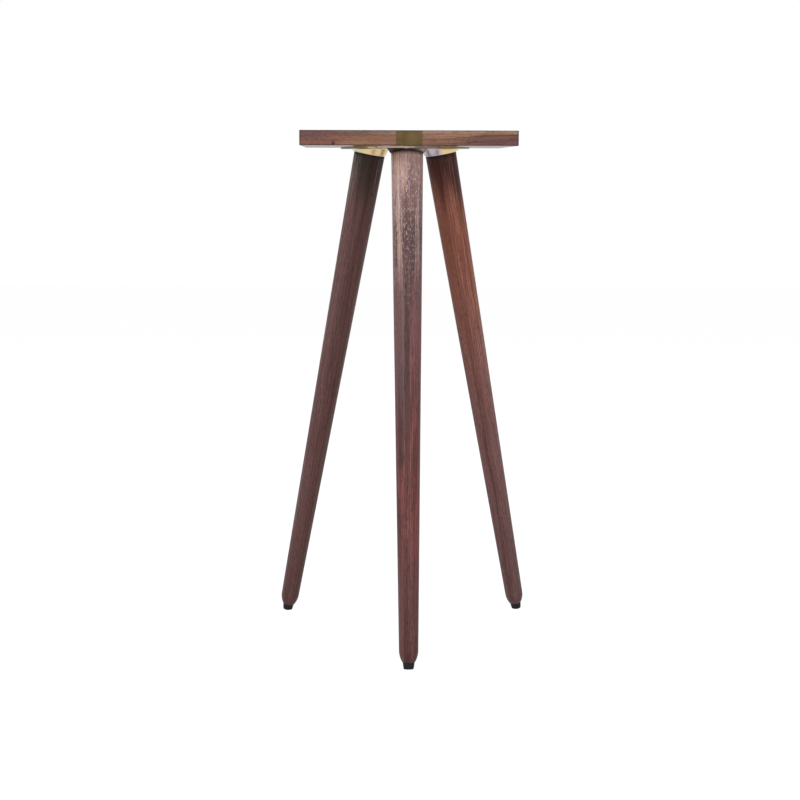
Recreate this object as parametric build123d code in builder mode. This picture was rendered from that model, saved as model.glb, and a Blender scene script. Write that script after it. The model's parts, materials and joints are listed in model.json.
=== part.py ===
from build123d import *
import math
import os

# A three-legged speaker stand: a square walnut board on three splayed, turned legs.
# Each leg carries a hanger bolt that screws into a nut welded inside an angled steel
# bracket, and stands on a rubber foot. Millimetres, +Z up, the floor at z = 0.

os.makedirs("parts", exist_ok=True)

# ---- driving dimensions ------------------------------------------------------------

# square top board
board_size = 254.0
board_thickness = 17.5
board_corner_radius = 2.5
board_edge_radius = 0.8

# blank brass plate bonded to the middle of the board's front edge
plate_width = 30.0
plate_height = 16.0
plate_thickness = 0.6
plate_corner_radius = 0.8

# legs: where they stand round the board's centre, in degrees from +X
leg_azimuths = {"front": -90.0, "right": 30.0, "left": 150.0}
leg_tilt = 11.8                  # degrees from upright
leg_length = 607.0               # the wood alone, along its axis
leg_top_diameter = 38.5
leg_top_chamfer = 0.6
leg_low_diameter = 23.0          # where the taper meets the rounded end
leg_round_height = 14.0          # height of the rounded end
leg_end_diameter = 14.8          # flat end face, where the foot is fixed

# pressed steel brackets
sheet = 2.0                      # sheet thickness
seat_margin = 0.75               # seat beyond the leg, all round
seat_edge_radius = 0.6
boss_flare = 4.5                 # how far the boss's wall spreads from seat to flange
boss_root_radius = 1.2           # bend between boss and flange
flange_width = 11.2
bracket_gap = 17.6               # between the flanges of neighbouring brackets
flange_edge_radius = 0.4

# bracket screws, countersunk
screws_per_bracket = 4
screw_first_angle = 45.0         # from the leg's outward direction
screw_diameter = 4.0
screw_head_diameter = 7.6
screw_head_height = 1.8
screw_length = 14.0
screw_point_length = 3.0
screw_cross_length = 3.8
screw_cross_width = 0.9
screw_cross_depth = 1.2
pilot_spare_depth = 1.0

# hanger bolts and the nuts welded inside the brackets
bolt_diameter = 8.0
bolt_stand_out = 1.0             # above the nut, when the leg is tight
bolt_wood_length = 34.0          # below the seat, in the leg
bolt_point_length = 6.0
bolt_point_diameter = 2.0
bolt_chamfer = 0.8
nut_across_flats = 13.0
nut_height = 4.0
nut_headroom = 0.9               # between the nut's highest corner and the board

# rubber feet, each held by a pan-head screw on a washer in a recess
foot_height = 8.0
foot_top_diameter = 14.2
foot_bottom_diameter = 12.0
foot_edge_radius = 1.0
foot_squash = 1.0                # how far the rubber gives where the foot leans inwards
foot_recess_diameter = 7.6
foot_recess_spare = 1.6          # between the screw's head and the foot's mouth
washer_diameter = 7.2
washer_thickness = 0.8
foot_screw_diameter = 3.0
foot_screw_head_diameter = 5.6
foot_screw_head_height = 2.0
foot_screw_head_edge = 0.6
foot_screw_length = 18.0         # under the head
foot_screw_point_length = 3.0
foot_cross_length = 3.0
foot_cross_width = 0.7
foot_cross_depth = 1.1

# clearances
thread_clearance = 0.05          # round a bolt that turns or slides in its hole
screw_clearance = 0.05           # round a screw that stays put
washer_clearance = 0.2           # round a washer in its recess

# ---- what follows from them --------------------------------------------------------

tilt = math.radians(leg_tilt)
leg_top_radius = leg_top_diameter / 2
seat_radius = leg_top_radius + seat_margin
boss_radius = seat_radius + boss_flare
flange_radius = boss_radius + flange_width
screw_circle_radius = boss_radius + flange_width / 2
bolt_radius = bolt_diameter / 2
bolt_hole_radius = bolt_radius + thread_clearance
screw_radius = screw_diameter / 2

# neighbouring flanges set how far the legs stand from the board's centre
bracket_circle_radius = (flange_radius + bracket_gap / 2) / math.sin(math.pi / len(leg_azimuths))

# the nut's highest corner sets how deep the boss is under the board
nut_corner_radius = nut_across_flats / 2 / math.cos(math.pi / 6)
nut_reach = sheet + nut_height + nut_corner_radius * math.tan(tilt) + nut_headroom
seat_depth = nut_reach * math.cos(tilt)

# the feet stand on the floor and set the height of everything above them
foot_lift = foot_bottom_diameter / 2 * math.sin(tilt) - foot_squash
seat_height = (leg_length + foot_height) * math.cos(tilt) + foot_lift
underside = seat_height + seat_depth

# the origin is under the middle of the whole stand, and the front leg reaches further
# forward than the board does backward, so the board's centre stands behind the origin
low_point = leg_length - leg_round_height
leg_reach = low_point * math.sin(tilt) + leg_low_diameter / 2 * math.cos(tilt)
front_reach = bracket_circle_radius + leg_reach
board_y = (front_reach - board_size / 2) / 2

foot_recess_depth = washer_thickness + foot_screw_head_height + foot_recess_spare
foot_web = foot_height - foot_recess_depth


def outward(azimuth):
    """Level direction from the board's centre to a leg."""
    return Vector(1, 0, 0).rotate(Axis.Z, azimuth)


def seat_plane(azimuth):
    """The face that a leg's top meets: origin on the leg's axis, z up along it."""
    out = outward(azimuth)
    up = Vector(0, 0, 1)
    origin = Vector(0, board_y, seat_height) + out * bracket_circle_radius
    slope = out * math.cos(tilt) + up * math.sin(tilt)
    axis = up * math.cos(tilt) - out * math.sin(tilt)
    return Plane(origin=origin, x_dir=slope, z_dir=axis)


def turning_plane(seat):
    """The plane that a turned piece's half profile is drawn on: x out, y down the leg."""
    return Plane(origin=seat.origin, x_dir=seat.x_dir, z_dir=seat.z_dir.cross(seat.x_dir))


def bracket_plane(side, height):
    """A level plane over a bracket, with x towards the outside of the stand."""
    centre = seats[side].origin
    return Plane(
        origin=(centre.X, centre.Y, height),
        x_dir=outward(leg_azimuths[side]),
        z_dir=(0, 0, 1),
    )


def screw_points(side, height):
    """Centres of a bracket's screws at a height."""
    plane = bracket_plane(side, height)
    points = []
    for number in range(screws_per_bracket):
        angle = math.radians(screw_first_angle + number * 360 / screws_per_bracket)
        x = screw_circle_radius * math.cos(angle)
        y = screw_circle_radius * math.sin(angle)
        points.append(plane.from_local_coords((x, y, 0)))
    return points


seats = {side: seat_plane(azimuth) for side, azimuth in leg_azimuths.items()}

# ---- top board ---------------------------------------------------------------------

with BuildPart() as top_board:
    with BuildSketch(Plane((0, board_y, underside))):
        RectangleRounded(board_size, board_size, board_corner_radius)
    extrude(amount=board_thickness)
    upper_and_lower = top_board.faces().filter_by(Axis.Z)
    fillet(upper_and_lower.edges(), board_edge_radius)
    # blind pilot holes for the bracket screws
    with BuildSketch(Plane.XY.offset(underside)):
        for side in seats:
            with Locations(*[(point.X, point.Y) for point in screw_points(side, underside)]):
                Circle(screw_radius + screw_clearance)
    extrude(amount=screw_length - sheet + pilot_spare_depth, mode=Mode.SUBTRACT)
top_board.part.label = "top_board"
export_step(top_board.part, "parts/top_board.step")

# ---- blank name plate --------------------------------------------------------------

plate_centre = (0, board_y - board_size / 2, underside + board_thickness / 2)
with BuildPart() as name_plate:
    with BuildSketch(Plane(origin=plate_centre, x_dir=(1, 0, 0), z_dir=(0, -1, 0))):
        RectangleRounded(plate_width, plate_height, plate_corner_radius)
    extrude(amount=plate_thickness)
    front_face = name_plate.faces().sort_by(Axis.Y)[0]
    chamfer(front_face.edges(), plate_thickness / 3)
name_plate.part.label = "name_plate"
export_step(name_plate.part, "parts/name_plate.step")

# ---- angled brackets ---------------------------------------------------------------

for side, seat in seats.items():
    flange_bottom = underside - sheet
    with BuildPart() as bracket:
        # round flange against the board
        with BuildSketch(bracket_plane(side, flange_bottom)):
            Circle(flange_radius)
        extrude(amount=sheet)
        # hollow boss whose slanted end is square to the leg
        with BuildSketch(bracket_plane(side, flange_bottom)):
            Circle(boss_radius)
        with BuildSketch(seat):
            Circle(seat_radius)
        loft()
        rings = bracket.edges().filter_by(GeomType.CIRCLE).sort_by(SortBy.RADIUS)
        seat_rim, root_ring = rings[0:2]
        flange_rim = rings[2:].sort_by(Axis.Z)[0]
        fillet(seat_rim, seat_edge_radius)
        fillet(root_ring, boss_root_radius)
        fillet(flange_rim, flange_edge_radius)
        with BuildSketch(bracket_plane(side, underside)):
            Circle(boss_radius - sheet)
        with BuildSketch(seat.offset(sheet)):
            Circle(seat_radius - sheet)
        loft(mode=Mode.SUBTRACT)
        # hole for the hanger bolt
        with BuildSketch(seat):
            Circle(bolt_hole_radius)
        extrude(amount=sheet, mode=Mode.SUBTRACT)
        # countersunk screw holes, their wide ends down
        under_flange = Plane(
            origin=bracket_plane(side, flange_bottom).origin,
            x_dir=outward(leg_azimuths[side]),
            z_dir=(0, 0, -1),
        )
        with Locations(under_flange):
            with PolarLocations(screw_circle_radius, screws_per_bracket, screw_first_angle):
                CounterSinkHole(
                    radius=screw_radius + screw_clearance,
                    counter_sink_radius=screw_head_diameter / 2 + screw_clearance,
                    depth=sheet,
                    counter_sink_angle=90,
                )
    bracket.part.label = f"bracket_{side}"
    export_step(bracket.part, f"parts/bracket_{side}.step")

# ---- weld nuts ---------------------------------------------------------------------

for side, seat in seats.items():
    with BuildPart() as weld_nut:
        with BuildSketch(seat.offset(sheet)):
            RegularPolygon(nut_across_flats / 2, 6, major_radius=False)
            Circle(bolt_hole_radius, mode=Mode.SUBTRACT)
        extrude(amount=nut_height)
    weld_nut.part.label = f"weld_nut_{side}"
    export_step(weld_nut.part, f"parts/weld_nut_{side}.step")

# ---- bracket screws ----------------------------------------------------------------

for side in seats:
    for number, head in enumerate(screw_points(side, underside - sheet), 1):
        with BuildPart() as screw:
            with BuildSketch(Plane(origin=head, x_dir=(1, 0, 0), z_dir=(0, -1, 0))):
                with BuildLine():
                    Polyline(
                        (0, 0),
                        (screw_head_diameter / 2, 0),
                        (screw_radius, screw_head_height),
                        (screw_radius, screw_length - screw_point_length),
                        (0, screw_length),
                        close=True,
                    )
                make_face()
            revolve(axis=Axis(head, (0, 0, 1)))
            with BuildSketch(Plane(head)):
                Rectangle(screw_cross_length, screw_cross_width)
                Rectangle(screw_cross_width, screw_cross_length)
            extrude(amount=screw_cross_depth, mode=Mode.SUBTRACT)
        screw.part.label = f"bracket_screw_{side}_{number}"
        export_step(screw.part, f"parts/bracket_screw_{side}_{number}.step")

# ---- hanger bolts ------------------------------------------------------------------

for side, seat in seats.items():
    bolt_top = -(sheet + nut_height + bolt_stand_out)
    with BuildPart() as hanger_bolt:
        with BuildSketch(turning_plane(seat)):
            with BuildLine():
                Polyline(
                    (0, bolt_top),
                    (bolt_radius - bolt_chamfer, bolt_top),
                    (bolt_radius, bolt_top + bolt_chamfer),
                    (bolt_radius, bolt_wood_length - bolt_point_length),
                    (bolt_point_diameter / 2, bolt_wood_length),
                    (0, bolt_wood_length),
                    close=True,
                )
            make_face()
        revolve(axis=Axis(seat.origin, seat.z_dir))
    hanger_bolt.part.label = f"hanger_bolt_{side}"
    export_step(hanger_bolt.part, f"parts/hanger_bolt_{side}.step")

# ---- legs --------------------------------------------------------------------------

for side, seat in seats.items():
    low_radius = leg_low_diameter / 2
    taper = (low_radius - leg_top_radius, low_point)
    foot_hole_depth = foot_screw_length - washer_thickness - foot_web + pilot_spare_depth
    with BuildPart() as leg:
        with BuildSketch(turning_plane(seat)):
            with BuildLine():
                Line((0, 0), (leg_top_radius - leg_top_chamfer, 0))
                Line((leg_top_radius - leg_top_chamfer, 0), (leg_top_radius, leg_top_chamfer))
                Line((leg_top_radius, leg_top_chamfer), (low_radius, low_point))
                TangentArc((low_radius, low_point), (leg_end_diameter / 2, leg_length), tangent=taper)
                Line((leg_end_diameter / 2, leg_length), (0, leg_length))
                Line((0, leg_length), (0, 0))
            make_face()
        revolve(axis=Axis(seat.origin, seat.z_dir))
        # bore for the hanger bolt and pilot hole for the foot's screw
        with BuildSketch(turning_plane(seat)):
            with BuildLine():
                Polyline(
                    (0, 0),
                    (bolt_hole_radius, 0),
                    (bolt_hole_radius, bolt_wood_length + pilot_spare_depth),
                    (0, bolt_wood_length + bolt_hole_radius + pilot_spare_depth),
                    close=True,
                )
            make_face()
            with BuildLine():
                Polyline(
                    (0, leg_length),
                    (foot_screw_diameter / 2 + screw_clearance, leg_length),
                    (foot_screw_diameter / 2 + screw_clearance, leg_length - foot_hole_depth),
                    (0, leg_length - foot_hole_depth),
                    close=True,
                )
            make_face()
        revolve(axis=Axis(seat.origin, seat.z_dir), mode=Mode.SUBTRACT)
    leg.part.label = f"leg_{side}"
    export_step(leg.part, f"parts/leg_{side}.step")

# ---- rubber feet -------------------------------------------------------------------

for side, seat in seats.items():
    foot_end = leg_length + foot_height
    with BuildPart() as foot:
        with BuildSketch(turning_plane(seat)):
            with BuildLine():
                Polyline(
                    (0, leg_length),
                    (foot_top_diameter / 2, leg_length),
                    (foot_bottom_diameter / 2, foot_end),
                    (0, foot_end),
                    close=True,
                )
            make_face()
        revolve(axis=Axis(seat.origin, seat.z_dir))
        mouth_rim = foot.edges().filter_by(GeomType.CIRCLE).sort_by(Axis.Z)[0]
        fillet(mouth_rim, foot_edge_radius)
        # recess for the screw's head and washer, and the hole through the web
        with BuildSketch(turning_plane(seat)):
            with BuildLine():
                Polyline(
                    (0, leg_length),
                    (foot_screw_diameter / 2 + screw_clearance, leg_length),
                    (foot_screw_diameter / 2 + screw_clearance, leg_length + foot_web),
                    (foot_recess_diameter / 2, leg_length + foot_web),
                    (foot_recess_diameter / 2, foot_end),
                    (0, foot_end),
                    close=True,
                )
            make_face()
        revolve(axis=Axis(seat.origin, seat.z_dir), mode=Mode.SUBTRACT)
        # the floor flattens the side of the foot that leans into it
        split(bisect_by=Plane.XY, keep=Keep.TOP)
    foot.part.label = f"foot_{side}"
    export_step(foot.part, f"parts/foot_{side}.step")

# ---- foot washers ------------------------------------------------------------------

for side, seat in seats.items():
    with BuildPart() as washer:
        with BuildSketch(seat.offset(-(leg_length + foot_web))):
            Circle(washer_diameter / 2)
            Circle(foot_screw_diameter / 2 + washer_clearance, mode=Mode.SUBTRACT)
        extrude(amount=-washer_thickness)
    washer.part.label = f"foot_washer_{side}"
    export_step(washer.part, f"parts/foot_washer_{side}.step")

# ---- foot screws -------------------------------------------------------------------

for side, seat in seats.items():
    head_top = leg_length + foot_web + washer_thickness
    head_end = head_top + foot_screw_head_height
    with BuildPart() as foot_screw:
        with BuildSketch(turning_plane(seat)):
            with BuildLine():
                Polyline(
                    (0, head_end),
                    (foot_screw_head_diameter / 2, head_end),
                    (foot_screw_head_diameter / 2, head_top),
                    (foot_screw_diameter / 2, head_top),
                    (foot_screw_diameter / 2, head_top - foot_screw_length + foot_screw_point_length),
                    (0, head_top - foot_screw_length),
                    close=True,
                )
            make_face()
        revolve(axis=Axis(seat.origin, seat.z_dir))
        head_rim = foot_screw.edges().filter_by(GeomType.CIRCLE).sort_by(Axis.Z)[0]
        fillet(head_rim, foot_screw_head_edge)
        with BuildSketch(seat.offset(-head_end)):
            Rectangle(foot_cross_length, foot_cross_width)
            Rectangle(foot_cross_width, foot_cross_length)
        extrude(amount=foot_cross_depth, mode=Mode.SUBTRACT)
    foot_screw.part.label = f"foot_screw_{side}"
    export_step(foot_screw.part, f"parts/foot_screw_{side}.step")
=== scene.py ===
# %% [markdown]
# # A walnut speaker stand
# The real stand is a square walnut board on three splayed, turned legs. Each leg screws into
# an angled steel bracket and stands on a small rubber foot, and a blank brass plate sits on
# the board's front edge. Sizes and places come from a finished mechanical model, the frame. A
# piece goes where its node in the frame is, and rides on a body of the frame, so that it moves
# when a leg is unscrewed.

# %% The frame
import json
import math

import bmesh
import bpy
from mathutils import Euler, Matrix, Vector


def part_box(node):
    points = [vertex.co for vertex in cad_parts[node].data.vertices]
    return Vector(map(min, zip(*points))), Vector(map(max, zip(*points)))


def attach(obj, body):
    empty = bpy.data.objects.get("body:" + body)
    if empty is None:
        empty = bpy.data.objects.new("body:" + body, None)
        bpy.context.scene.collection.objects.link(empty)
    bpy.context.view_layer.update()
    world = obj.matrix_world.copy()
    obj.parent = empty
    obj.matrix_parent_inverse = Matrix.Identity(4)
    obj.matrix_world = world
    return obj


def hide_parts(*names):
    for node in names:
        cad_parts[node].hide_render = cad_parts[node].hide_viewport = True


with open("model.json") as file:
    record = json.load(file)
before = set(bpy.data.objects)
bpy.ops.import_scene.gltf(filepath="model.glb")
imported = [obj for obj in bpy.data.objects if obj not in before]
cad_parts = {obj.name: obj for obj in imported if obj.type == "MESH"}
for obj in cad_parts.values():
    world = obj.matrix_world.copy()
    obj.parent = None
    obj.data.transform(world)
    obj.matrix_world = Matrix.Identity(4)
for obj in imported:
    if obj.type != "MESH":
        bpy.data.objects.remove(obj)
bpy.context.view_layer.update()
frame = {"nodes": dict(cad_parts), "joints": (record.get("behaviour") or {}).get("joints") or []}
MM = 0.001                       # every size below is in millimetres, and Blender's unit is 1 m
print("nodes in the frame:", len(frame["nodes"]))

# %% [markdown]
# ## Where each leg stands
# A leg and what turns with it are easiest to model upright, at the origin, with z running down
# the leg from the face that meets its bracket. One matrix for each leg then puts it in place.
# The joint that the leg turns on gives its point and its direction.

# %% The three places
SIDES = ("front", "left", "right")


def leg_place(side):
    """Matrix from an upright leg, z down from its top, to its place in the stand."""
    joint = next(j for j in frame["joints"] if j["name"] == side + "_leg_turn")
    down = Vector(joint["axis"]).normalized()
    level_out = Vector((down.x, down.y, 0)).normalized()
    slope = (level_out - down * level_out.dot(down)).normalized()
    turn = Matrix((slope, down.cross(slope), down)).transposed()
    return Matrix.Translation(joint["pos_m"]) @ turn.to_4x4()


places = {side: leg_place(side) for side in SIDES}
for side, place in places.items():
    lean = math.degrees(place.col[2].to_3d().angle(Vector((0, 0, -1))))
    print(f"{side} leg leans {lean:.1f} degrees")

# %% [markdown]
# ## Helpers for turned and rounded pieces
# Most pieces here are turned: half an outline spun about an axis. A spin leaves doubled points
# on the axis and at its seam, so they are merged, and then all faces are made to point out.
# Real edges are never sharp, so circles are picked by their size and bevelled round. Smooth
# shading would make a flat face with rounded rims look like a pillow, so a Weighted Normal
# modifier lets the larger face set the normals. Equal shapes are made once and copied.

# %% Blocks, spins, cuts and bevels
MERGE_DISTANCE = 0.0001
CUT_TOLERANCE = 0.00001
CIRCLE_TOLERANCE = 0.01


def block(low, high):
    """A cuboid between two corners, which are in metres."""
    solid = bmesh.new()
    shape = Matrix.LocRotScale((low + high) / 2, None, high - low)
    bmesh.ops.create_cube(solid, size=1, matrix=shape)
    return solid


def bevel(solid, edges, width, segments=3):
    """Rounds edges of a bmesh over a width in millimetres."""
    how = {"offset_type": "OFFSET", "profile": 0.5, "affect": "EDGES", "material": -1}
    bmesh.ops.bevel(solid, geom=list(edges), offset=width * MM, segments=segments, **how)


def spun(outline, segments=96, turns=1, pitch=0):
    """A turned solid from half an outline of (radius, height) points in millimetres.

    With a pitch the outline climbs by that much in each turn, and the ends stay open.
    """
    solid = bmesh.new()
    points = [solid.verts.new((radius * MM, 0, height * MM)) for radius, height in outline]
    edges = [solid.edges.new(pair) for pair in zip(points, points[1:])]
    climb = {"dvec": (0, 0, pitch * MM / segments), "use_merge": not pitch}
    turning = {"cent": (0, 0, 0), "axis": (0, 0, 1), "angle": math.tau * turns}
    bmesh.ops.spin(solid, geom=points + edges, steps=segments * turns, **turning, **climb)
    bmesh.ops.remove_doubles(solid, verts=solid.verts, dist=MERGE_DISTANCE * MM)
    bmesh.ops.recalc_face_normals(solid, faces=solid.faces)
    return solid


def cut_flat(solid, point, keep):
    """Cuts a solid along the plane through a point, and keeps and closes one side."""
    whole = solid.verts[:] + solid.edges[:] + solid.faces[:]
    plane = {"plane_co": point, "plane_no": keep, "dist": CUT_TOLERANCE * MM}
    cut = bmesh.ops.bisect_plane(solid, geom=whole, clear_inner=True, **plane)
    rim = [item for item in cut["geom_cut"] if isinstance(item, bmesh.types.BMEdge)]
    bmesh.ops.holes_fill(solid, edges=rim, sides=0)


def runs_along(edge, axis):
    """Whether an edge of a box runs along x, y or z, which are 0, 1 and 2."""
    return abs(edge.verts[0].co[axis] - edge.verts[1].co[axis]) > 0.1 * MM


def on_circle(solid, radius, height, place=Matrix()):
    """The edges that lie on a circle about the z axis of a place."""
    back = place.inverted()

    def near(vert):
        point = back @ vert.co
        misses = (point.xy.length - radius * MM, point.z - height * MM)
        return all(abs(miss) < CIRCLE_TOLERANCE * MM for miss in misses)

    return [edge for edge in solid.edges if all(near(vert) for vert in edge.verts)]


# %% Handing pieces over
SHARP_ANGLE = 40                 # degrees, from which an edge isn't shaded smooth


def scene_object(name, data):
    """A new object in the scene: a mesh, a lamp or a camera."""
    made = bpy.data.objects.new(name, data)
    bpy.context.scene.collection.objects.link(made)
    return made


def finish_piece(solid, name, place, body, node):
    """Turns a bmesh into a piece that stands for a node of the frame and rides on its body."""
    solid.transform(place)
    mesh = bpy.data.meshes.new(name)
    solid.to_mesh(mesh)
    solid.free()
    mesh.shade_smooth()
    mesh.set_sharp_from_angle(angle=math.radians(SHARP_ANGLE))
    piece = scene_object(name, mesh)
    flat_faces = piece.modifiers.new("flat_faces", "WEIGHTED_NORMAL")
    flat_faces.keep_sharp = True
    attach(piece, body)
    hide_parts(node)
    return piece


def copies(solid, places_by_name):
    """One copied bmesh for each name and place."""
    for name, place in places_by_name.items():
        yield name, place, solid.copy()
    solid.free()


def finish_pieces(shapes, name, body, node):
    """Finishes (side, place, bmesh) shapes, which all ride on the top or each on its own body."""
    pieces = {}
    for side, place, shape in shapes:
        ending = "_" + side
        side_body = body if body == "top" else body + ending
        pieces[side] = finish_piece(shape, name + ending, place, side_body, node + ending)
    return pieces


# %% [markdown]
# ## The board
# The board is a flat square panel, planed and sanded, with its corners eased by hand. The four
# upright edges get a larger bevel for the corners, and the rims of both faces a smaller one,
# as a sanding block leaves them. The arrises are painted darker, as painted shade on their
# rounding, and the underside keeps the gloss of its varnish, so each face gets one of three
# finishes by its place and direction.

# %% Board
board_corner_radius = 2.5
board_edge_radius = 0.8
BROAD_FACES, ARRISES, UNDERSIDE = range(3)  # the order of the board's finishes

board_low, board_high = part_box("top_board")
board_middle = (board_low + board_high) / 2
board = block(board_low, board_high)
uprights = [edge for edge in board.edges if runs_along(edge, 2)]
bevel(board, uprights, board_corner_radius, segments=8)
rims = {edge for face in board.faces if abs(face.normal.z) > 0.9 for edge in face.edges}
bevel(board, rims, board_edge_radius, segments=5)
for face in board.faces:
    from_middle = abs(face.calc_center_median().z - board_middle.z)
    on_rim = from_middle > (board_high.z - board_low.z) / 2 - board_edge_radius * MM
    on_corner = abs(face.normal.x) > 0.5 and abs(face.normal.y) > 0.1
    if face.normal.z < -0.99:
        face.material_index = UNDERSIDE
    # the rims and eased corners take the painted shade of the arrises
    elif (on_rim or on_corner) and face.normal.z < 0.99:
        face.material_index = ARRISES
    else:
        face.material_index = BROAD_FACES
board_piece = finish_piece(board, "walnut_board", Matrix(), "top", "top_board")
print("board faces:", len(board_piece.data.polygons))

# %% [markdown]
# ## The name plate
# The plate is a thin piece of brass sheet, guillotined, with its corners nipped and its rim
# filed to a shallow slope. An inset of the front face makes the band along the rim, and
# pushing its outer loop back into the plate makes the slope.

# %% Name plate
plate_corner_radius = 0.8
plate_rim_width = 0.6
plate_rim_drop = 0.25

plate = block(*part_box("name_plate"))
corners = [edge for edge in plate.edges if runs_along(edge, 1)]
bevel(plate, corners, plate_corner_radius, segments=6)
front = min(plate.faces, key=lambda face: face.calc_center_median().y)
outer_loop = list(front.verts)
bmesh.ops.inset_region(plate, faces=[front], thickness=plate_rim_width * MM)
bmesh.ops.translate(plate, verts=outer_loop, vec=(0, plate_rim_drop * MM, 0))
plate_piece = finish_piece(plate, "brass_plate", Matrix(), "top", "name_plate")
print("plate faces:", len(plate_piece.data.polygons))

# %% [markdown]
# ## The legs
# A leg is turned on a lathe: a long straight taper, a rounded lower end and a bore for the
# hanger bolt. The rounded end is one arc that leaves the taper without a kink and reaches the
# flat end where the foot is fixed.

# %% Legs
leg_length = 607.0
leg_top_radius = 19.25
leg_low_radius = 11.5            # where the taper meets the rounded end
leg_round_height = 14.0
leg_end_radius = 7.4
leg_rim_radius = 0.9
bolt_bore_radius = 4.05
bolt_bore_depth = 35.0
foot_bore_radius = 1.55
foot_bore_depth = 16.6


def tangent_arc(past, start, end, steps):
    """Points after start, up to end, on the arc that goes on in line from past to start."""
    past, start, end = Vector(past), Vector(start), Vector(end)
    run = (start - past).normalized()
    chord = end - start
    across = Vector((-run.y, run.x))
    half_turn = math.atan2(across.dot(chord), run.dot(chord))
    centre = start + across * chord.length_squared / (2 * across.dot(chord))
    turns = [Matrix.Rotation(2 * half_turn * step / steps, 2) for step in range(1, steps + 1)]
    return [tuple(centre + turn @ (start - centre)) for turn in turns]


def turned_leg():
    """An upright leg, z down from its top."""
    top_corner = (leg_top_radius, 0)
    taper_end = (leg_low_radius, leg_length - leg_round_height)
    outline = [
        (0, bolt_bore_depth + bolt_bore_radius),
        (bolt_bore_radius, bolt_bore_depth),
        (bolt_bore_radius, 0),
        top_corner,
        taper_end,
        *tangent_arc(top_corner, taper_end, (leg_end_radius, leg_length), steps=12),
        (foot_bore_radius, leg_length),
        (foot_bore_radius, leg_length - foot_bore_depth),
        (0, leg_length - foot_bore_depth),
    ]
    leg = spun(outline, segments=128)
    bevel(leg, on_circle(leg, leg_top_radius, 0), leg_rim_radius, segments=4)
    bevel(leg, on_circle(leg, leg_end_radius, leg_length), leg_rim_radius / 2)
    return leg


leg_pieces = finish_pieces(copies(turned_leg(), places), "turned_leg", "leg", "leg")
print("faces on a leg:", len(leg_pieces["front"].data.polygons))

# %% [markdown]
# ## The rubber feet
# Each foot is a moulded bumper: a short cone with a rounded mouth, and a recess for the screw
# that holds it. The mould's two halves leave a fine ridge round it. The foot leans with its
# leg, so the floor presses one side of its mouth flat. A cut along the floor shows that.

# %% Rubber feet
foot_height = 8.0
mould_ridge_place = foot_height * 0.45
foot_top_radius = 7.1
foot_mouth_radius = 6.0
foot_web = 3.6                   # rubber under the screw's head
foot_recess_radius = 3.8
foot_mouth_rounding = 1.0
mould_ridge_height = 0.12
mould_ridge_half = 0.25


def rubber_foot(place):
    """A foot below an upright leg, cut off where the floor would be under the placed leg."""

    def on_side(below_top, stand_out=0):
        share = below_top / foot_height
        radius = foot_top_radius + (foot_mouth_radius - foot_top_radius) * share
        return radius + stand_out, below_top

    outline = [
        (foot_bore_radius, 0),
        (foot_top_radius, 0),
        on_side(mould_ridge_place - mould_ridge_half),
        on_side(mould_ridge_place, mould_ridge_height),
        on_side(mould_ridge_place + mould_ridge_half),
        (foot_mouth_radius, foot_height),
        (foot_recess_radius, foot_height),
        (foot_recess_radius, foot_web),
        (foot_bore_radius, foot_web),
        (foot_bore_radius, 0),
    ]
    outline = [(radius, leg_length + below_top) for radius, below_top in outline]
    foot = spun(outline)
    mouth = leg_length + foot_height
    bevel(foot, on_circle(foot, foot_mouth_radius, mouth), foot_mouth_rounding, segments=6)
    bevel(foot, on_circle(foot, foot_recess_radius, mouth), foot_mouth_rounding / 4)
    bevel(foot, on_circle(foot, foot_top_radius, leg_length), foot_mouth_rounding / 3, segments=4)
    to_upright = place.inverted()
    floor_point = to_upright @ Vector((place.translation.x, place.translation.y, 0))
    floor_up = to_upright.to_3x3() @ Vector((0, 0, 1))
    cut_flat(foot, floor_point, floor_up)
    bmesh.ops.recalc_face_normals(foot, faces=foot.faces)
    return foot


feet = [(side, place, rubber_foot(place)) for side, place in places.items()]
foot_pieces = finish_pieces(feet, "rubber_foot", "leg", "foot")

# %% [markdown]
# ## Washers
# A plain washer under each foot screw spreads its load on the soft rubber. It is stamped, so
# its rims are slightly round.

# %% Washers
washer_radius = 3.6
washer_bore_radius = 1.7
washer_thickness = 0.8
washer_rim_radius = 0.15

washer_top = leg_length + foot_web
washer_end = washer_top + washer_thickness
washer_outline = [
    (washer_bore_radius, washer_top),
    (washer_radius, washer_top),
    (washer_radius, washer_end),
    (washer_bore_radius, washer_end),
    (washer_bore_radius, washer_top),
]
washer = spun(washer_outline, segments=64)
for height in (washer_top, washer_end):
    bevel(washer, on_circle(washer, washer_radius, height), washer_rim_radius, segments=2)
washer_pieces = finish_pieces(
    copies(washer, places), "washer", "leg", "foot_washer"
)
print("washers:", len(washer_pieces))

# %% [markdown]
# ## Screw threads
# A thread is one pitch of its outline climbing a helix. The same spin makes it when every step
# also moves along the axis. The top of one turn then meets the bottom of the next, the doubled
# points are merged, and two square cuts give the rod its length. A chamfer or a point is made
# by pulling in whatever stands outside a cone.
#
# A Boolean joins a head to its thread, and two more cut the cross recess. Booleans are the
# short way here, because none of these shapes share their edges.

# %% Threads and Booleans
def threaded_rod(start, end, crest, root, pitch, crest_flat, root_flat, segments=28):
    """A rod between two heights with a helical thread. Its flats are shares of the pitch."""
    ridge = root_flat + (1 - crest_flat - root_flat) / 2
    shares = [(root, 0), (root, root_flat), (crest, ridge), (crest, ridge + crest_flat), (root, 1)]
    outline = [(radius, (share - 1) * pitch) for radius, share in shares]
    rod = spun(outline, segments, math.ceil((end - start) / pitch) + 2, pitch)
    for height, keep in ((0, 1), (end - start, -1)):
        cut_flat(rod, (0, 0, height * MM), (0, 0, keep))
    bmesh.ops.recalc_face_normals(rod, faces=rod.faces)
    bmesh.ops.translate(rod, verts=rod.verts, vec=(0, 0, start * MM))
    return rod


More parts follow.
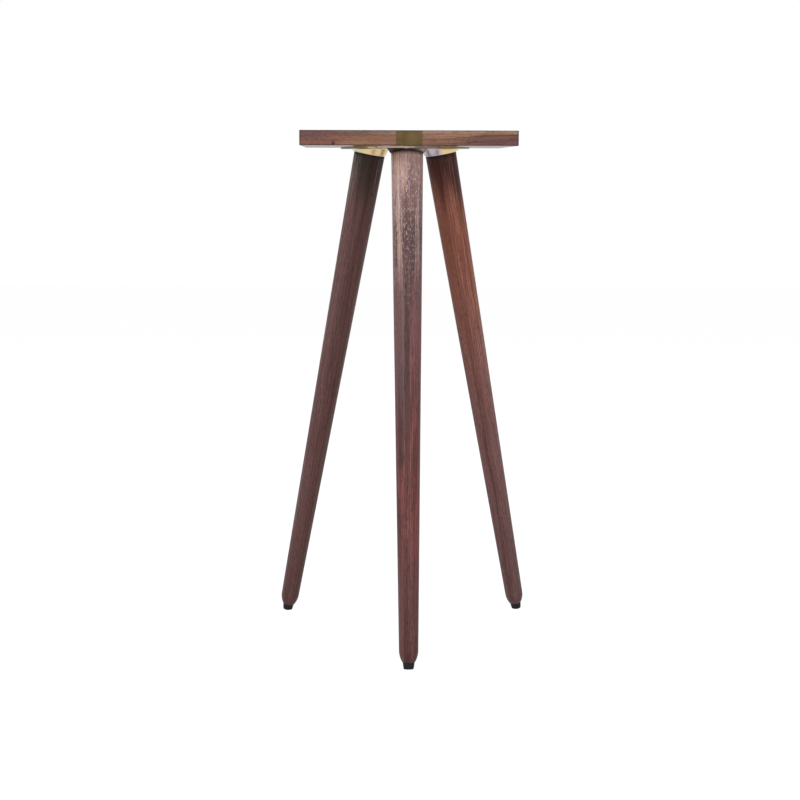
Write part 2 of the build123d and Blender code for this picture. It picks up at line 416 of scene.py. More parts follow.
def pull_in(rod, wide, wide_height, narrow, narrow_height):
    """Pulls in what stands outside the cone between two (radius, height) circles."""
    for vert in rod.verts:
        share = (vert.co.z / MM - wide_height) / (narrow_height - wide_height)
        limit = (wide + (narrow - wide) * share) * MM
        if share > 0 and vert.co.xy.length > limit:
            vert.co.xy = vert.co.xy.normalized() * limit


def combined(solid, tool, operation):
    """The Boolean of two bmeshes, which are both used up."""
    workers = []
    for shape in (solid, tool):
        mesh = bpy.data.meshes.new("work")
        shape.to_mesh(mesh)
        shape.free()
        workers.append(scene_object("work", mesh))
    step = workers[0].modifiers.new("step", "BOOLEAN")
    step.object = workers[1]
    step.operation = operation
    step.solver = "EXACT"
    graph = bpy.context.evaluated_depsgraph_get()
    made = bpy.data.meshes.new_from_object(workers[0].evaluated_get(graph))
    result = bmesh.new()
    result.from_mesh(made)
    for worker in workers:
        bpy.data.meshes.remove(worker.data)
    bpy.data.meshes.remove(made)
    return result


def cut_cross(head, width, slot, depth):
    """Cuts a cross recess into a head whose face is at z = 0 and whose body is above it."""
    corner = Vector((width / 2, slot / 2, depth)) * MM
    for turn in (0, math.pi / 2):
        blade = block(-corner, corner)
        blade.transform(Matrix.Rotation(turn, 4, "Z"))
        pull_in(blade, width, 0, width / 4, depth)     # the recess narrows as it gets deeper
        head = combined(head, blade, "DIFFERENCE")
    return head


# %% [markdown]
# ## Foot screws
# A pan-head screw, 3 mm thick, holds each foot through its washer. Its head sits deep in the
# foot's recess and shows only from below.

# %% Foot screws
foot_screw_head_radius = 2.8
foot_screw_head_height = 2.0
foot_screw_head_rounding = 0.9
foot_screw_length = 18.0
foot_screw_point = 4.0
foot_screw_radius = 1.5
foot_screw_root_radius = foot_screw_radius * 0.66
foot_screw_pitch = 1.35
foot_screw_neck_end = 4.0
foot_screw_thread_start = 3.0
screw_tip_radius = 0.1


def foot_screw():
    """A pan-head screw with its head's face at z = 0 and its point above."""
    under_head = foot_screw_head_height
    neck_radius = foot_screw_radius * 0.9
    outline = [
        (0, 0),
        (foot_screw_head_radius, 0),
        (foot_screw_head_radius, under_head),
        (neck_radius, under_head),
        (neck_radius, foot_screw_neck_end),
        (0, foot_screw_neck_end),
    ]
    head = spun(outline, segments=48)
    bevel(head, on_circle(head, foot_screw_head_radius, 0), foot_screw_head_rounding, segments=5)
    end = under_head + foot_screw_length
    sizes = (foot_screw_radius, foot_screw_root_radius, foot_screw_pitch)
    thread = threaded_rod(foot_screw_thread_start, end, *sizes, crest_flat=0.12, root_flat=0.3)
    pull_in(thread, foot_screw_radius, end - foot_screw_point, screw_tip_radius, end)
    return cut_cross(combined(head, thread, "UNION"), width=3.0, slot=0.7, depth=1.1)


# the screw is modelled upright from its head, so it is turned over to point up the leg
head_face = Matrix.Translation((0, 0, (washer_end + foot_screw_head_height) * MM))
turned_over = Matrix.Rotation(math.pi, 4, "X")
foot_screw_places = {side: places[side] @ head_face @ turned_over for side in SIDES}
foot_screw_pieces = finish_pieces(
    copies(foot_screw(), foot_screw_places), "pan_screw", "leg", "foot_screw"
)
print("faces on a foot screw:", len(foot_screw_pieces["front"].data.polygons))

# %% [markdown]
# ## Brackets
# The bracket is pressed from 2 mm steel: a round flange against the board, and a hollow boss
# whose end slants so that it lies square to the leg. The press leaves round bends, and four
# holes are countersunk for its screws. The boss's two ends aren't parallel, so the bracket is
# first spun with a straight boss, as a deep-drawn cup would be, and then the circles of the
# boss's end are tilted to the leg together. The wall between follows by itself.

# %% Measures of a bracket, and where its screws are
sheet = 2.0
seat_radius = 20.0
boss_radius = 24.5
flange_radius = 35.7
screw_circle_radius = 30.1
screw_head_radius = 3.8
screw_radius = 2.0
screw_head_height = 1.8
screw_clearance = 0.05           # between a screw and its hole all round
screws_per_bracket = 4
flange_rim_rounding = 0.4        # outside it the press leaves the sheet's cut edge


def under_board(side):
    """The place on the board's underside over a leg's top, x towards the stand's outside."""
    down = places[side].col[2].to_3d()
    azimuth = math.atan2(down.y, down.x)
    centre = places[side].translation
    move = Matrix.Translation((centre.x, centre.y, board_low.z))
    return move @ Matrix.Rotation(azimuth, 4, "Z")


def screw_places(side):
    """Places of a bracket's screw heads on the flange, by the names of their nodes."""
    flange = under_board(side) @ Matrix.Translation((0, 0, -sheet * MM))
    found = {}
    for number in range(screws_per_bracket):
        turn = Matrix.Rotation(math.tau * (number + 0.5) / screws_per_bracket, 4, "Z")
        out = Matrix.Translation((screw_circle_radius * MM, 0, 0))
        found[f"{side}_{number + 1}"] = flange @ turn @ out
    return found


print("screws in the front bracket:", list(screw_places("front")))


# %% Brackets
def pressed_bracket(side):
    """A bracket in its place under the board."""
    level = under_board(side)
    # the slanted seat has x and y as the level circles have them, and z up the leg
    seat = places[side] @ Matrix.Diagonal((1, -1, -1, 1))
    depth = (board_low.z - seat.translation.z) / MM
    outline = [
        (flange_radius, 0),
        (flange_radius, -sheet),
        (boss_radius, -sheet),
        (seat_radius, -depth),
        (bolt_bore_radius, -depth),
        (bolt_bore_radius, sheet - depth),
        (seat_radius - sheet, sheet - depth),
        (boss_radius - sheet, 0),
        (flange_radius, 0),
    ]
    bracket = spun(outline)
    boss_end = [vert for vert in bracket.verts if vert.co.z < -(sheet + 1) * MM]
    to_seat = level.inverted() @ seat @ Matrix.Translation((0, 0, depth * MM))
    bmesh.ops.transform(bracket, matrix=to_seat, verts=boss_end)
    bracket.transform(level)
    bends = [  # place, radius and height of a circle, and how wide it is rounded
        (level, flange_radius, -sheet, flange_rim_rounding),
        (level, boss_radius, -sheet, 1.6),
        (seat, seat_radius, 0, 1.8),
        (seat, seat_radius - sheet, sheet, 0.5),
        (level, boss_radius - sheet, 0, 0.6),
        (seat, bolt_bore_radius, 0, 0.15),
    ]
    for place, radius, height, width in bends:
        bevel(bracket, on_circle(bracket, radius, height, place), width, segments=5)
    hole_radius = screw_radius + screw_clearance
    mouth_radius = screw_head_radius + screw_clearance
    past = 0.5                   # the drill starts and ends this far off the sheet
    countersink_outline = [
        (0, -past),
        (mouth_radius + past, -past),
        (hole_radius, mouth_radius - hole_radius),
        (hole_radius, sheet + past),
        (0, sheet + past),
    ]
    for place in screw_places(side).values():
        countersink = spun(countersink_outline, segments=48)
        countersink.transform(place)
        bracket = combined(bracket, countersink, "DIFFERENCE")
    # the faces of the flange's rim take its painted light and shade
    for face in bracket.faces:
        from_axis = (level.inverted() @ face.calc_center_median()).xy.length
        face.material_index = int(from_axis > (flange_radius - flange_rim_rounding) * MM)
    return bracket


brackets = [(side, Matrix(), pressed_bracket(side)) for side in SIDES]
bracket_pieces = finish_pieces(brackets, "pressed_bracket", "top", "bracket")
print("faces on a bracket:", len(bracket_pieces["front"].data.polygons))

# %% [markdown]
# ## Bracket screws
# Twelve countersunk wood screws hold the brackets, and their heads lie flush in the flanges.
# The recesses point every way, because nobody lines screws up, and a stand whose crosses were
# all parallel would look drawn, not built.

# %% Bracket screws
screw_length = 14.0
screw_point = 3.2
screw_shank_radius = screw_radius * 0.7
screw_root_radius = screw_shank_radius * 0.88
screw_pitch = 1.8
screw_rim_height = 0.2           # the head's edge isn't a knife's
screw_neck_start = 2.4
screw_neck_end = 4.0
screw_thread_start = 2.8


def countersunk_screw():
    """A countersunk wood screw with its head's face at z = 0 and its point above."""
    outline = [
        (0, screw_clearance),
        (screw_head_radius - screw_rim_height, screw_clearance),
        (screw_head_radius - screw_clearance, screw_rim_height),
        (screw_radius - screw_clearance, screw_head_height),
        (screw_shank_radius, screw_neck_start),
        (screw_shank_radius, screw_neck_end),
        (0, screw_neck_end),
    ]
    head = spun(outline, segments=48)
    sizes = (screw_radius - screw_clearance, screw_root_radius, screw_pitch)
    thread = threaded_rod(screw_thread_start, screw_length, *sizes, crest_flat=0.1, root_flat=0.3)
    point_start = screw_length - screw_point
    pull_in(thread, screw_radius, point_start, screw_tip_radius, screw_length)
    return cut_cross(combined(head, thread, "UNION"), width=3.8, slot=0.9, depth=1.2)


screw_turns = {}
for side_number, side in enumerate(SIDES):
    for number, (name, place) in enumerate(screw_places(side).items()):
        quarter_share = (0.37 * number + 0.61 * side_number) % 1
        screw_turns[name] = place @ Matrix.Rotation(quarter_share * math.pi / 2, 4, "Z")
screw_pieces = finish_pieces(
    copies(countersunk_screw(), screw_turns), "wood_screw", "top", "bracket_screw"
)
screw_faces = len(screw_pieces["front_1"].data.polygons)
print("bracket screws:", len(screw_pieces), "faces each:", screw_faces)

# %% [markdown]
# ## Hanger bolts
# A hanger bolt has two threads: a machine thread, which screws into the nut in the bracket,
# and a coarse wood thread, which holds it in the leg. A leg that is unscrewed shows the
# machine thread, so it is a real M8 thread with its 60 degree flanks.

# %% Hanger bolts
bolt_radius = 3.98
bolt_pitch = 1.25
bolt_stand_out = 7.0             # above the leg's top
machine_thread_end = 12.0        # below the leg's top
wood_thread_start = 14.5
bolt_end = 34.0
bolt_point = 6.0
bolt_tip_radius = 0.8
collar_radius = 3.2              # the plain stretch between the threads
collar_overlap = 1.0
wood_thread_root_radius = 2.7
wood_thread_pitch = 3.0


def hanger_bolt():
    """A hanger bolt in an upright leg, z down from the leg's top."""
    root = bolt_radius - 0.5413 * bolt_pitch     # the depth of a metric thread
    sizes = (bolt_radius, root, bolt_pitch)
    flats = {"crest_flat": 0.125, "root_flat": 0.25}
    top = -bolt_stand_out
    machine = threaded_rod(top, machine_thread_end, *sizes, **flats, segments=48)
    blunt = root - 0.1
    pull_in(machine, bolt_radius, top + bolt_radius - blunt, blunt, top)
    sizes = (bolt_radius, wood_thread_root_radius, wood_thread_pitch)
    flats = {"crest_flat": 0.08, "root_flat": 0.35}
    wood = threaded_rod(wood_thread_start, bolt_end, *sizes, **flats, segments=40)
    pull_in(wood, bolt_radius, bolt_end - bolt_point, bolt_tip_radius, bolt_end)
    outline = [
        (0, machine_thread_end - collar_overlap),
        (collar_radius, machine_thread_end - collar_overlap),
        (collar_radius, wood_thread_start + collar_overlap),
        (0, wood_thread_start + collar_overlap),
    ]
    collar = spun(outline, segments=48)
    return combined(combined(machine, collar, "UNION"), wood, "UNION")


bolt_pieces = finish_pieces(
    copies(hanger_bolt(), places), "threaded_bolt", "bolt", "hanger_bolt"
)
print("faces on a hanger bolt:", len(bolt_pieces["front"].data.polygons))

# %% [markdown]
# ## Weld nuts
# The nut that the bolt screws into is welded inside the boss, where nobody sees it. Its free
# corners are chamfered at 30 degrees, so it is the part of a hexagon that lies within a cone.

# %% Weld nuts
nut_across_flats = 13.0
nut_height = 4.0


def weld_nut():
    """A nut on the inner face of an upright bracket, below z = 0."""
    low = -(sheet + nut_height)
    flat_radius = nut_across_flats / 2
    corner_radius = flat_radius / math.cos(math.pi / 6)
    outline = [(0, low), (corner_radius, low), (corner_radius, -sheet), (0, -sheet)]
    nut = spun(outline, segments=6)
    nut.transform(Matrix.Rotation(math.pi / 2, 4, "Z"))
    slope = math.tan(math.pi / 6)
    beyond = 0.3                 # the blank is this much wider than the nut's corners
    chamfer = (corner_radius - flat_radius) * slope
    blank_outline = [
        (0, low - 1),
        (flat_radius - 1 / slope, low - 1),
        (corner_radius + beyond, low + chamfer + beyond * slope),
        (corner_radius + beyond, 0),
        (0, 0),
    ]
    bore_outline = [(0, low - 2), (bolt_bore_radius, low - 2), (bolt_bore_radius, 1), (0, 1)]
    chamfered = combined(nut, spun(blank_outline, segments=72), "INTERSECT")
    return combined(chamfered, spun(bore_outline, segments=72), "DIFFERENCE")


nut_pieces = finish_pieces(
    copies(weld_nut(), places), "hexagon_nut", "top", "weld_nut"
)
print("faces on a nut:", len(nut_pieces["front"].data.polygons))

# %% [markdown]
# ## Colour and nodes
# Colours are written in hex, as they look on a screen, and one function turns them to the
# linear values that Blender renders with. `plug` gives a node's inputs values or links, and
# `add` makes a node, with keywords for its own settings. Coordinates are in metres, so
# `per_size` turns the width and length of one grain of a pattern, in millimetres, into the
# factors that its coordinates are stretched by.

# %% Helpers for materials
def colour(sheet_hex):
    """Linear RGBA from an sRGB hex colour."""
    shares = [int(sheet_hex[start:start + 2], 16) / 255 for start in (1, 3, 5)]
    linear = [s / 12.92 if s <= 0.04045 else ((s + 0.055) / 1.055) ** 2.4 for s in shares]
    return (*linear, 1)


def plug(tree, node, feed):
    """Gives a node's inputs values or links. A node in the feed stands for its first output."""
    for key, value in feed.items():
        if isinstance(value, bpy.types.Node):
            value = value.outputs[0]
        if isinstance(value, bpy.types.NodeSocket):
            tree.links.new(value, node.inputs[key])
        else:
            node.inputs[key].default_value = value


def add(tree, kind, feed=None, **settings):
    """Adds a shader node with its settings, and values or links for its inputs."""
    node = tree.nodes.new("ShaderNode" + kind)
    for name, value in settings.items():
        setattr(node, name, value)
    plug(tree, node, feed or {})
    return node


def set_stops(ramp, stops):
    """Gives a Color Ramp its (place, colour) stops, and gives it back."""
    elements = ramp.color_ramp.elements
    while len(elements) < len(stops):
        elements.new(0.5)
    for element, (place, value) in zip(elements, stops):
        element.position = place
        element.color = colour(value) if isinstance(value, str) else (value, value, value, 1)
    return ramp


def per_size(width, length):
    """Stretch factors for grains this wide and long, in millimetres, the length along z."""
    return (1 / (width * MM), 1 / (width * MM), 1 / (length * MM))


def pattern(tree, where, stretch, detail, seed=0.0, harshness=0.5):
    """Noise whose grains have the size that the stretch gives them."""
    feed = {0: where, 1: stretch, 2: (seed, seed, seed)}
    stretched = add(tree, "VectorMath", feed, operation="MULTIPLY_ADD")
    feed = {"Vector": stretched, "Scale": 1.0, "Detail": detail, "Roughness": harshness}
    return add(tree, "TexNoise", feed)


def scaled_sum(tree, terms, start=0.0):
    """Adds up (output, factor) pairs, and gives the last node."""
    total = start
    for output, factor in terms:
        feed = {0: output, 1: factor, 2: total}
        total = add(tree, "Math", feed, operation="MULTIPLY_ADD")
    return total


def new_material(name):
    """A material with an empty tree but for its surface shader, and that shader."""
    material = bpy.data.materials.new(name)
    material.use_nodes = True
    return material, material.node_tree, material.node_tree.nodes["Principled BSDF"]


print("half grey in linear light:", round(colour("#808080")[0], 3))

# %% [markdown]
# ## Walnut
# Black walnut, sanded and oiled: chocolate brown with purple and tan streaks, satin, with open
# pores that show as fine dark dashes along the grain. The wood is made as a solid, not as a
# picture wrapped round each piece. Growth rings are cylinders round the pith, which lies
# outside the piece, and noise stretched along the grain gives fibres and pores. End grain
# then comes out by itself wherever a surface cuts across.
#
# A tone from 0 to 1 says how dark or light the wood is at a point. Good and bad years set it,
# and the noise is added. A shade of walnut turns tones to colours, and a piece may change from
# one shade to the next along its grain. Each piece gets its own pith, tilt of grain and
# shades, as pieces from different planks have.

# %% Measures of walnut
RING_WIDTH = 3.4                 # one year's growth
RING_UNEVENNESS = 3.0            # years that a ring may be early or late
RING_GROUP_WIDTH = 13.0          # slow changes between years
LATE_WOOD = [(0.0, 0.0), (0.6, 0.15), (0.9, 1.0), (1.0, 0.0)]  # its share through one year
WAVES = per_size(34.0, 210.0)    # how far apart the grain's waves are, across and along it
WANDER = 8.0                     # how far the grain strays
FIBRES = per_size(1.1, 38.0)     # real fibres are 0.03 mm wide, too fine to show
PORES = per_size(0.55, 6.0)      # real pores are about 0.2 mm wide, too fine to show
PORE_LIMITS = (0.57, 0.68)       # the noise above which a pore begins and is full
STREAKS = per_size(7.0, 240.0)
GROUP_SHARE = 0.5                # how much each pattern lightens the tone
FIBRE_SHARE = 0.9
STREAK_SHARE = 0.9
LATE_WOOD_SHARE = -0.15
PORE_DARKNESS = 0.55
# painted highlight: pale specks that stand for glints of sheen on the pores
GLINTS = per_size(1.2, 5.5)
GLINT_LIMITS = (0.56, 0.68)
GLINT_SLANT = 9.0                # degrees off the grain
SHADE_RAGGEDNESS = 90.0          # how unevenly one shade gives way to the next
# painted shade: a leg's top is darkened over this length, where it meets its bracket
END_SHADOW_LENGTH = 6.0
GRAIN_RELIEF = 0.15              # how deep an open pore is sunk
KNOT_CORE = 0.4                  # the share of a knot's radius that is all dark
KNOT_FRAY = 1.5
KNOT_DARKNESS = 0.95
# dark brown of pores, ring lines and knots, and of the painted shade at a leg's top
PORE_AND_SHADOW_BROWN = "#1d110f"
GLINT_TAN = "#e6cdb8"
print("fibres per metre, across and along:", [round(number) for number in FIBRES[1:]])

# %% Shades of walnut, as colours from its darkest tone to its lightest
# the two palest shades, at the front leg's top, are partly its own tone and partly painted light
TAN_AND_PAINTED_LIGHT = ((0.1, "#c09d93"), (0.3, "#caa69b"), (0.5, "#a38084"), (0.85, "#dfbba5"))
LILAC_AND_PAINTED_LIGHT = ((0.1, "#64473f"), (0.3, "#7a5f5b"), (0.5, "#72545e"), (0.85, "#c3a99e"))
LILAC_BROWN = ((0.1, "#412927"), (0.3, "#503938"), (0.5, "#50363b"), (0.85, "#ab8f85"))
CHOCOLATE = ((0.1, "#3f2523"), (0.3, "#523a39"), (0.5, "#74484c"), (0.85, "#5f4a49"))
RED_CHOCOLATE = (
    (0.1, "#4a2b27"), (0.3, "#623530"), (0.45, "#7d4643"), (0.65, "#4e2b2a"), (0.85, "#3e2424"),
)
# the left leg's top, under the board, is partly its own tone and partly painted shade
BROWN_AND_PAINTED_SHADE = ((0.2, "#2c1a10"), (0.5, "#3a2b25"), (0.8, "#8b7c76"))
PLUM_BROWN = ((0.2, "#452a27"), (0.5, "#583b39"), (0.8, "#6b504e"))
MULBERRY = ((0.2, "#422421"), (0.5, "#563332"), (0.8, "#6a4747"))
# the right leg's top, under the board, is partly its own tone and partly painted shade
RED_AND_PAINTED_SHADE = ((0.2, "#36150e"), (0.42, "#4e241b"), (0.55, "#36130c"), (0.75, "#744c46"))
RED_BROWN = ((0.2, "#693b2f"), (0.5, "#794737"), (0.8, "#a66e5b"))
ROSE_BROWN = ((0.2, "#4e312f"), (0.5, "#694644"), (0.8, "#745653"))
# the darkest stops of this shade and of orange brown are painted shade along the top of the
# board's front edge
SMOKED_ROSE = ((0.2, "#67423e"), (0.5, "#6d3e36"), (0.8, "#5e3b37"), (0.95, "#46302c"))
ORANGE_BROWN = (
    (0.2, "#7d5d48"), (0.4, "#7c553f"), (0.6, "#734b35"), (0.8, "#664638"), (0.95, "#3a2b26"),
)
ROSE_UNDER_TAN = ((0.2, "#62443b"), (0.4, "#704b3c"), (0.6, "#7e5641"), (0.8, "#866757"))
PURPLE_UNDER_TAN = ((0.2, "#543633"), (0.4, "#553332"), (0.6, "#724f33"), (0.8, "#927360"))
# painted shade for the board's arrises
ARRIS_SHADE_BROWN = ((0.2, "#261a18"), (0.8, "#43322d"))
print("tones of bleached tan:", len(TAN_AND_PAINTED_LIGHT))


# %% Grain, rings, flecks and knots
def in_place(tree, place):
    """Object coordinates as seen from a place."""
    where = add(tree, "TexCoord").outputs["Object"]
    feed = {"Vector": where, "Location": place.translation, "Rotation": place.to_euler()}
    return add(tree, "Mapping", feed, vector_type="TEXTURE")


def growth_rings(tree, wood_at, years, seed):
    """The tone of the years, slow changes between them, and the dark line that ends each."""
    level = add(tree, "VectorMath", {0: wood_at, 1: (1, 1, 0)}, operation="MULTIPLY")
    from_pith = add(tree, "VectorMath", {0: level}, operation="LENGTH").outputs["Value"]
    nearest, farthest = years[0][0], years[-1][0]
    feed = {"Value": from_pith, "From Min": nearest * MM, "From Max": farthest * MM}
    record = add(tree, "ValToRGB", {"Fac": add(tree, "MapRange", feed)})
    set_stops(record, [((mm - nearest) / (farthest - nearest), tone) for mm, tone in years])
    count = scaled_sum(tree, [(from_pith, 1 / (RING_GROUP_WIDTH * MM))], seed)
    feed = {"W": count, "Scale": 1.0, "Detail": 3.0}
    groups = add(tree, "TexNoise", feed, noise_dimensions="1D")
    uneven = scaled_sum(tree, [(from_pith, 1 / (RING_WIDTH * MM)), (groups, RING_UNEVENNESS)])
    season = add(tree, "Math", {0: uneven}, operation="FRACT")
    late_wood = set_stops(add(tree, "ValToRGB", {"Fac": season}), LATE_WOOD)
    return record, groups, late_wood


def painted_glints(tree, grain, strength, seed):
    """How far painted glints, pale specks for sheen on the pores, cover the wood. They lie slanted
    to the grain.
    """
    glint_at = in_place(tree, grain @ Matrix.Rotation(math.radians(GLINT_SLANT), 4, "X"))
    spots = pattern(tree, glint_at, GLINTS, 1.0, seed)
    feed = {"Value": spots, "From Min": GLINT_LIMITS[0], "From Max": GLINT_LIMITS[1]}
    spots = add(tree, "MapRange", feed)
    return add(tree, "Math", {0: spots, 1: strength}, operation="MULTIPLY")


def knot(tree, place, radius, dashes):
    """How far a knot covers the wood. The dashes of the pores fray its rim."""
    feed = {0: add(tree, "TexCoord").outputs["Object"], 1: Vector(place) * MM}
    apart = add(tree, "VectorMath", feed, operation="DISTANCE").outputs["Value"]
    frayed = radius * KNOT_FRAY * MM
    apart = scaled_sum(tree, [(apart, 1.0), (dashes, frayed)], -frayed / 2)
    fade = {"From Min": KNOT_CORE * radius * MM, "From Max": radius * MM}
    feed = {"Value": apart, **fade, "To Min": KNOT_DARKNESS, "To Max": 0.0}
    return add(tree, "MapRange", feed)


# %% Walnut
def walnut(
    name, grain, years, shades, seed, contrast=1.0, roughness=0.4, gloss=0.2, ring_lines=0.2,
    painted_end_shadow=0.0, glints=0.0, glint_end=1.0, knots=(),
):
    """Walnut whose grain runs along the z axis of a place, with the pith on that axis.

    years are (distance from the pith, tone) stops. shades are (distance along the grain,
    shade), each reigning from its distance on. The gloss is the shader's specular level.
    Ring lines darken the end of each year. The painted end shadow darkens the rim where the grain
    starts, as painted shade where a leg meets its bracket. Painted glints, pale specks that stand
    for sheen on the pores, fade out at their end, a distance along the grain. knots are (place in
    the stand, radius) pairs. All distances are in millimetres.
    """
    material, tree, surface = new_material(name)
    grain_at = in_place(tree, grain)

    # the grain wanders a little, and its pattern's coordinates with it
    waves = pattern(tree, grain_at, WAVES, 1.0, seed).outputs["Color"]
    feed = {0: waves, 1: (0.5, 0.5, 0.5)}
    centred = add(tree, "VectorMath", feed, operation="SUBTRACT")
    feed = {0: centred, 1: (WANDER * MM, WANDER * MM, 0), 2: grain_at}
    wood_at = add(tree, "VectorMath", feed, operation="MULTIPLY_ADD")

    # the tone from dark to light, of the years and of noise about its own middle
    record, groups, late_wood = growth_rings(tree, wood_at, years, seed)
    fibres = pattern(tree, wood_at, FIBRES, 3.0, seed, 0.65)
    streaks = pattern(tree, wood_at, STREAKS, 2.0, seed)
    shares = [(groups, GROUP_SHARE), (fibres, FIBRE_SHARE), (streaks, STREAK_SHARE)]
    noise = [(output, share * contrast) for output, share in shares]
    middle = sum(share * contrast / 2 for output, share in shares)
    terms = [*noise, (late_wood, LATE_WOOD_SHARE * contrast), (record, 1.0)]
    tone = scaled_sum(tree, terms, -middle)

    # layers of colour with the share that each covers, from the first shade up
    along = add(tree, "SeparateXYZ", {0: grain_at}).outputs["Z"]
    swing = SHADE_RAGGEDNESS * MM
    ragged = scaled_sum(tree, [(streaks, swing), (along, 1.0)], -swing / 2)
    tints = [
        set_stops(add(tree, "ValToRGB", {"Fac": tone}), stops) for start, stops in shades
    ]
    wood = tints[0]
    layers = []
    for before, (start, stops), tint in zip(shades, shades[1:], tints[1:]):
        feed = {"Value": ragged, "From Min": before[0] * MM, "From Max": start * MM}
        layers.append((add(tree, "MapRange", feed, interpolation_type="SMOOTHSTEP"), tint))

    # painted highlight: pale glints, strongest at the leg's top and fading along it
    if glints:
        fade = {"From Min": 0.0, "From Max": glint_end * MM, "To Min": glints, "To Max": 0.0}
        fading = add(tree, "MapRange", {"Value": ragged, **fade})
        layers.append((painted_glints(tree, grain, fading, seed), colour(GLINT_TAN)))

    # open pores are dark, matt and sunk
    dashes = pattern(tree, wood_at, PORES, 1.0, seed)
    feed = {"Value": dashes, "From Min": PORE_LIMITS[0], "From Max": PORE_LIMITS[1]}
    pores = add(tree, "MapRange", feed)
    lines = scaled_sum(tree, [(late_wood, ring_lines)])
    dark = [lines, scaled_sum(tree, [(pores, PORE_DARKNESS)])]
    # painted shade at the leg's top, where it meets its bracket
    if painted_end_shadow:
        fade = {"From Min": 0.0, "From Max": END_SHADOW_LENGTH * MM, "To Min": painted_end_shadow, "To Max": 0.0}
        feed = {"Value": along, **fade}
        dark.append(add(tree, "MapRange", feed, interpolation_type="SMOOTHSTEP"))
    dark += [knot(tree, place, radius, dashes) for place, radius in knots]
    layers += [(share, colour(PORE_AND_SHADOW_BROWN)) for share in dark]

    for share, tint in layers:
        wood = add(tree, "Mix", {0: share, 6: wood, 7: tint}, data_type="RGBA").outputs[2]
    relief = scaled_sum(tree, [(pores, -1.0), (fibres, 0.6)])
    feed = {"Strength": 0.35, "Distance": GRAIN_RELIEF * MM, "Height": relief}
    look = {
        "Base Color": wood,
        "Roughness": scaled_sum(tree, [(pores, 0.25), (fibres, 0.2)], roughness),
        "Normal": add(tree, "Bump", feed),
        "Specular IOR Level": gloss,
    }
    plug(tree, surface, look)
    return material


# %% The wood of each piece
def leg_grain(side, pith_angle, pith_distance, slant):
    """Grain along a leg, tilted by a slant in degrees, with the pith beside the leg."""
    towards = Matrix.Rotation(math.radians(pith_angle), 4, "Z")
    beside = towards @ Matrix.Translation((pith_distance * MM, 0, 0))
    return places[side] @ beside @ Matrix.Rotation(math.radians(slant), 4, "X")


leg_woods = {
    "front": {
        "grain": leg_grain("front", pith_angle=90, pith_distance=46, slant=0.8),
        "years": [
            (26, 0.85), (36, 0.8), (41, 0.6), (43.5, 0.16), (46, 0.12), (48, 0.32), (53, 0.35),
            (57, 0.44), (62, 0.46),
        ],
        "shades": [
            (8, TAN_AND_PAINTED_LIGHT), (55, LILAC_AND_PAINTED_LIGHT), (105, LILAC_BROWN), (190, CHOCOLATE),
            (410, RED_CHOCOLATE), (580, MULBERRY),
        ],
        "seed": 3.1,
        "contrast": 1.35,
        "painted_end_shadow": 0.9,
        "glints": 0.6,
        "glint_end": 200,
    },
    "left": {
        "grain": leg_grain("left", pith_angle=-30, pith_distance=52, slant=0.6),
        "years": [
            (34, 0.68), (41, 0.56), (47, 0.37), (54, 0.34), (60, 0.45), (66, 0.53), (72, 0.56),
        ],
        "shades": [(10, BROWN_AND_PAINTED_SHADE), (85, PLUM_BROWN)],
        "seed": 17.7,
        "contrast": 0.8,
        "painted_end_shadow": 0.8,
    },
    "right": {
        "grain": leg_grain("right", pith_angle=-150, pith_distance=52, slant=-0.6),
        "years": [(34, 0.5), (46, 0.42), (50, 0.47), (53, 0.55), (60, 0.62), (66, 0.6), (72, 0.5)],
        "shades": [(20, RED_AND_PAINTED_SHADE), (75, RED_BROWN), (400, ROSE_BROWN), (570, PLUM_BROWN)],
        "seed": 29.3,
        "contrast": 0.9,
        "painted_end_shadow": 0.8,
    },
}
for side, wood in leg_woods.items():
    leg_pieces[side].data.materials.append(walnut(f"oiled_walnut_{side}_leg", **wood))

along_x = Matrix.Rotation(math.pi / 2, 4, "Y")
board_slant = Matrix.Rotation(math.radians(-1.2), 4, "Y")
board_pith = Matrix.Translation(Vector((0, 30, -110)) * MM)
board_wood = {
    "grain": Matrix.Translation(board_middle) @ board_slant @ board_pith @ along_x,
    # the last years lie at the top of the front edge, and their darkest tone is painted shade
    # along its arris
    "years": [
        (119, 0.4), (125, 0.6), (132, 0.3), (141, 0.6), (147, 0.35), (156, 0.65), (165, 0.3),
        (173, 0.55), (182, 0.2), (186, 0.25), (190, 0.5), (194, 0.75), (197, 0.85), (199, 1.0),
    ],
    "shades": [
        (-100, SMOKED_ROSE), (-78, ORANGE_BROWN), (30, ROSE_UNDER_TAN), (80, PURPLE_UNDER_TAN),
    ],
    "seed": 41.9,
    "contrast": 0.8,
    "roughness": 0.36,
    "ring_lines": 0.35,
}
board_finishes = {
    "oiled_walnut_board": {"knots": [((-88, -98.55, 612.8), 2.6)]},
    "worn_walnut_arris": {"shades": [(0, ARRIS_SHADE_BROWN)]},
    "varnished_walnut_underside": {"roughness": 0.16, "gloss": 0.5},
}
for name, changes in board_finishes.items():
    board_piece.data.materials.append(walnut(name, **board_wood | changes))
woods = [material.name for material in bpy.data.materials if "walnut" in material.name]
print("woods:", woods)

# %% [markdown]
# ## Passivated zinc
# The brackets are zinc plated and dipped in a yellow chromate bath. The film is so thin that
# its colour changes with its thickness: gold where it is thickest, then peach, and lilac or
# silver where it is thin. The colour bands follow how the part hung in the bath, so they are
# wide and soft, with a little cloudiness.
# The front bracket's darker colours are painted shade, and the colours along the flanges' rims are
# painted light and shade.

